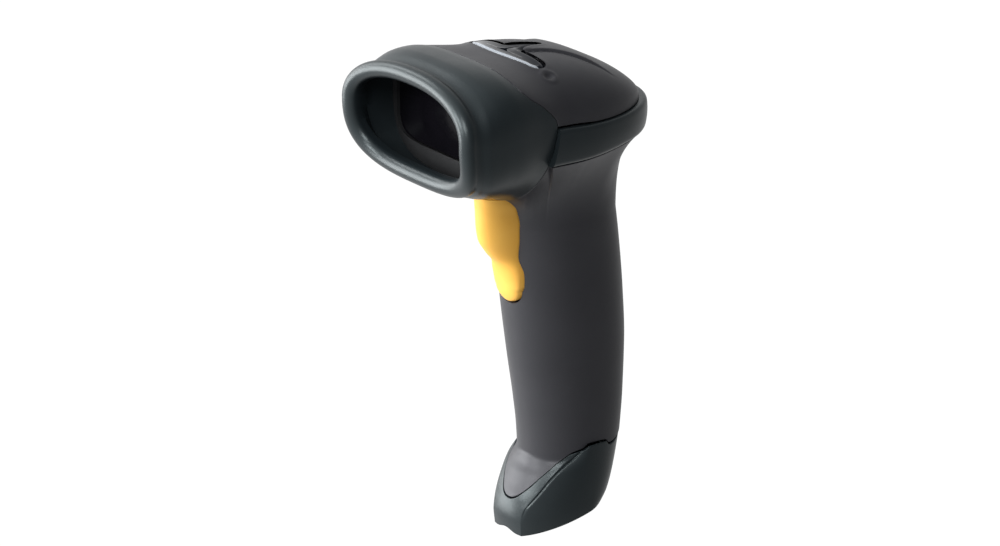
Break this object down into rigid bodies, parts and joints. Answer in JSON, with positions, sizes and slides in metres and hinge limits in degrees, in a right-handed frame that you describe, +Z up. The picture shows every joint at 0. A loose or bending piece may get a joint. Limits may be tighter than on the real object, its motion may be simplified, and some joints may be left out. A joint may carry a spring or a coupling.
{
  "type": "handheld barcode scanner",
  "caption": "Pistol-grip laser barcode scanner with a hooded window, sprung trigger, indicator light pipe and a boot with a cable socket.",
  "frame": {"origin": "middle of the hand grip, on the plane of symmetry, 60 mm above the toe of the boot", "axes": "+Z up along the grip, -Y the way the reading window looks, +X the scanner's own left side"},
  "size_m": [0.0596, 0.084, 0.1538],
  "materials": {
    "hood_plastic": "dark grey-green moulded plastic, fine grain, satin",
    "grip_plastic": "charcoal moulded plastic with a slight violet cast, fine grain",
    "trigger_plastic": "warm yellow moulded plastic, satin",
    "lens_plastic": "smoke tinted light pipe, polished",
    "window_glass": "dark red tinted exit window",
    "rubber": "black moulded rubber",
    "steel": "plated steel",
    "board": "green solder-masked laminate",
    "chip": "black moulded package",
    "brass": "brass and copper parts",
    "engine_metal": "die-cast chassis",
    "mirror_coat": "front-silvered mirror",
    "led_green": "green diode package",
    "led_red": "red diode package"
  },
  "bodies": {
    "scanner": {"nose_hood": "hood_plastic", "top_cover": "grip_plastic", "led_lens": "lens_plastic", "rear_bumper": "hood_plastic", "handle_shell": "grip_plastic", "trigger_pin": "steel", "spring_seat": "chip", "switch_body": "chip", "main_board": "board", "decoder_chip": "chip", "memory_chip": "chip", "beeper": "chip", "engine_ribbon": "rubber", "inlet_ribbon": "rubber", "scan_chassis": "engine_metal", "laser_module": "brass", "mirror_shaft": "steel", "drive_coil": "brass", "collection_mirror": "mirror_coat", "sensor_board": "board", "photodiode": "chip", "window_gasket": "rubber", "exit_window": "window_glass", "led_board": "board", "scan_led_green": "led_green", "fault_led_red": "led_red", "foot_boot": "hood_plastic", "modular_jack": "chip", "jack_contacts": "brass", "shock_ring_1": "rubber", "chassis_screw_1": "steel", "shock_ring_2": "rubber", "chassis_screw_2": "steel", "shock_ring_3": "rubber", "chassis_screw_3": "steel", "shock_ring_4": "rubber", "chassis_screw_4": "steel"},
    "trigger": {"trigger": "trigger_plastic", "trigger_spring": "steel"},
    "plunger": {"switch_plunger": "trigger_plastic"},
    "mirror": {"scan_mirror": "mirror_coat", "drive_magnet": "steel"}
  },
  "joints": [
    {"name": "trigger_pull", "type": "hinge", "parent": "scanner", "child": "trigger", "pos_m": [0, -0.0222, 0.0522], "axis": [1, 0, 0], "range_deg": [0, 4], "stiffness_Nm_per_rad": 0.25, "springref_deg": -4.58},
    {"name": "switch_press", "type": "slide", "parent": "scanner", "child": "plunger", "axis": [0, 1, 0], "range_m": [0, 0.0017]},
    {"name": "mirror_scan", "type": "hinge", "parent": "scanner", "child": "mirror", "pos_m": [0.0065, -0.0204, 0.0675], "axis": [0, 0, 1], "range_deg": [-10, 10], "stiffness_Nm_per_rad": 0.002}
  ],
  "couplings": [
    {"joint": "switch_press", "follows": "trigger_pull", "m_per_rad": 0.022}
  ]
}
